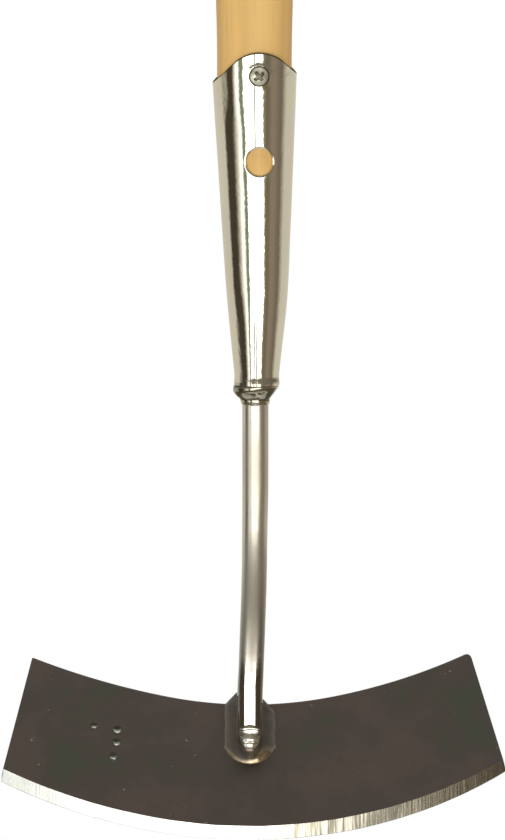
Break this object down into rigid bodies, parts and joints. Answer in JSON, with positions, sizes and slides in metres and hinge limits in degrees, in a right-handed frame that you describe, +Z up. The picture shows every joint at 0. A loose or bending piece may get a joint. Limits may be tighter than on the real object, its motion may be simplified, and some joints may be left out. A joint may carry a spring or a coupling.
{
  "type": "arc-bladed push hoe",
  "caption": "Long-handled push hoe: wooden handle in a rolled sheet socket, bent round-bar neck and a flat arc-shaped blade with a bevelled convex edge.",
  "frame": {"origin": "on the handle's axis, at the lower end of its straight 28 mm grip, 32 mm above the side corners of the socket's rim", "axes": "+Z up the handle's axis; X across the blade; -Y is the front, which the blade's upper, bevelled face looks towards"},
  "size_m": [0.1814, 0.0612, 1.4986],
  "materials": {
    "handle_wood": "smooth turned ash with a thin clear varnish",
    "plated_steel": "bright zinc plate",
    "screw_steel": "zinc-plated screw",
    "blade_steel": "dark heat-treated plate under clear lacquer, bevel ground bare",
    "weld_metal": "plated weld bead with straw tint"
  },
  "bodies": {
    "root": {"handle": "handle_wood", "socket": "plated_steel", "fixing_screw": "screw_steel", "neck_bar": "plated_steel", "blade": "blade_steel", "socket_weld": "weld_metal", "blade_weld": "weld_metal"}
  },
  "joints": []
}
